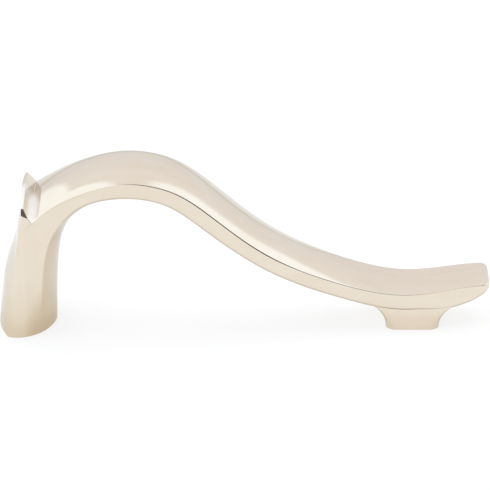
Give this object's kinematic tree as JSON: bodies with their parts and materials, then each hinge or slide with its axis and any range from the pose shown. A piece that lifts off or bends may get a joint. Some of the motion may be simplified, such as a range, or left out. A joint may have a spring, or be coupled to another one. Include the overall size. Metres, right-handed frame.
{
  "type": "latch pull",
  "caption": "S-curved polished metal latch pull: an arched finger bar falls from a swelling post with a raised lip to a small foot and an upturned tip, screwed on from behind.",
  "frame": {"origin": "on the door face, midway between the two fixing screws", "axes": "+X along the pull towards the tip, +Y across it, +Z away from the door"},
  "size_m": [0.0822, 0.0154, 0.0289],
  "materials": {
    "polished_nickel": "polished nickel plate with a warm tint and faint polishing lines along the bar"
  },
  "bodies": {
    "root": {"latch_pull": "polished_nickel"}
  },
  "joints": []
}
